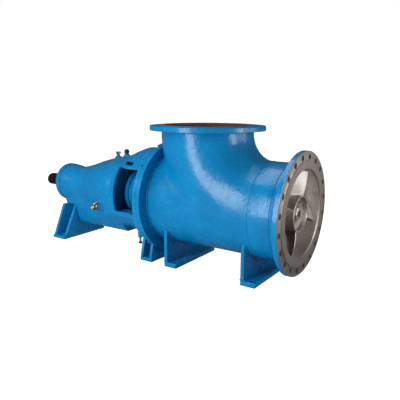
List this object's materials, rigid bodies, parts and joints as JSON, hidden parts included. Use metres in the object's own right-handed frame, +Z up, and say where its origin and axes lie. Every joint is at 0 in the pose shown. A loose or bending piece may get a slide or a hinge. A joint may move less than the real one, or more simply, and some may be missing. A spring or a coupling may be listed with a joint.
{
  "type": "axial flow pump",
  "caption": "Horizontal axial flow pump: flanged elbow casing on feet, open gland lantern, bearing housing with shaft end, and a bladed impeller in the inlet.",
  "frame": {"origin": "on the floor under the middle of the pump's length, on the shaft's vertical plane", "axes": "+X along the shaft towards the inlet flange, +Z up out of the outlet flange, the oil level glass on the -Y side"},
  "size_m": [2.181, 0.715, 0.891],
  "materials": {
    "casing_paint": "glossy blue enamel over cast and welded steel",
    "flange_steel": "machined face, painted rim",
    "cover_steel": "machined",
    "impeller_steel": "cast and ground",
    "shaft_steel": "turned, with a dark protective film",
    "fitting_steel": "zinc plated",
    "dark_fitting": "black oxide",
    "fitting_brass": "turned"
  },
  "bodies": {
    "pump": {"casing_elbow": "casing_paint", "casing_barrel": "casing_paint", "casing_neck": "casing_paint", "casing_throat": "casing_paint", "inlet_spool": "casing_paint", "inlet_flange": "flange_steel", "outlet_flange": "casing_paint", "casing_flange": "casing_paint", "casing_cover": "cover_steel", "bracket_flange": "casing_paint", "lantern_top": "casing_paint", "lantern_bottom": "casing_paint", "bearing_housing": "casing_paint", "bearing_end_cover": "casing_paint", "seal_housing": "casing_paint", "gland_ring": "cover_steel", "mid_foot_base": "casing_paint", "mid_foot_web": "casing_paint", "inlet_foot_base": "casing_paint", "inlet_foot_web": "casing_paint", "bracket_foot_base": "casing_paint", "bracket_foot_front": "casing_paint", "bracket_foot_rear": "casing_paint", "rear_foot_base": "casing_paint", "rear_foot_front": "casing_paint", "rear_foot_rear": "casing_paint", "rear_foot_rib": "casing_paint", "oil_breather": "fitting_steel", "oil_filler_plug": "dark_fitting", "oil_level_glass": "fitting_brass", "level_vent_elbow": "fitting_steel", "drain_cock": "dark_fitting"},
    "rotor": {"shaft": "shaft_steel", "shaft_key": "shaft_steel", "impeller_hub": "impeller_steel", "impeller_nut": "impeller_steel", "impeller_blade_1": "impeller_steel", "impeller_blade_2": "impeller_steel", "impeller_blade_3": "impeller_steel", "impeller_blade_4": "impeller_steel"}
  },
  "joints": [
    {"name": "rotor_spin", "type": "hinge", "parent": "pump", "child": "rotor", "pos_m": [0.9795, 0, 0.411], "axis": [1, 0, 0], "continuous": true}
  ]
}
